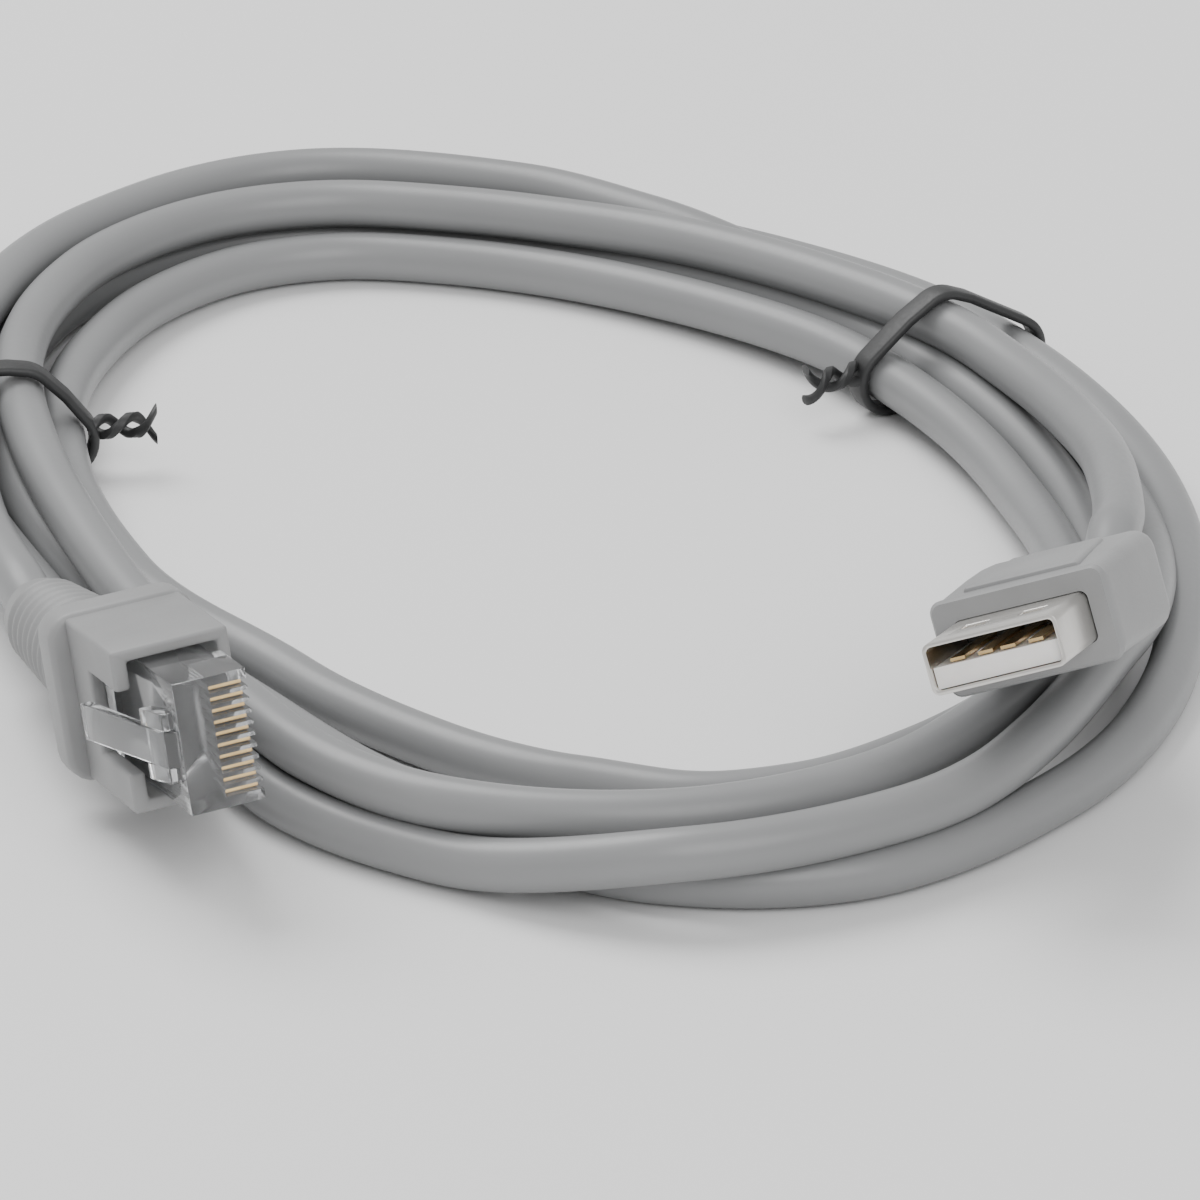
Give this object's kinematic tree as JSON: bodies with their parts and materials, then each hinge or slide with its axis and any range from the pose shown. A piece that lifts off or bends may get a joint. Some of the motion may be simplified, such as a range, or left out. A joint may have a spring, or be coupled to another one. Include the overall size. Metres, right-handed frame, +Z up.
{
  "type": "usb cable",
  "caption": "Grey data cable wound in an oval coil under two twist ties, with a USB type A plug on one end and a clear modular plug in a ribbed boot on the other.",
  "frame": {"origin": "on the floor under the middle of the coiled cable's footprint", "axes": "+Z up from the floor, +Y from the two plugs towards the far end of the oval, +X to the USB plug's side"},
  "size_m": [0.1202, 0.1614, 0.0272],
  "materials": {
    "jacket": "satin",
    "moulding": "satin",
    "tie": "satin",
    "shell": "polished",
    "insulator": "satin",
    "contacts": "polished",
    "clear": "clear gloss"
  },
  "bodies": {
    "root": {"cable_coil": "jacket", "cable_outer_run": "jacket", "cable_usb_lead": "jacket", "cable_modular_lead": "jacket", "tie_right": "tie", "tie_left": "tie", "usb_shell": "shell", "usb_tongue": "insulator", "usb_overmould": "moulding", "modular_plug": "clear", "boot": "moulding", "usb_contact_1": "contacts", "usb_contact_2": "contacts", "usb_contact_3": "contacts", "usb_contact_4": "contacts", "modular_contact_1": "contacts", "modular_contact_2": "contacts", "modular_contact_3": "contacts", "modular_contact_4": "contacts", "modular_contact_5": "contacts", "modular_contact_6": "contacts", "modular_contact_7": "contacts", "modular_contact_8": "contacts", "modular_contact_9": "contacts", "modular_contact_10": "contacts"}
  },
  "joints": []
}
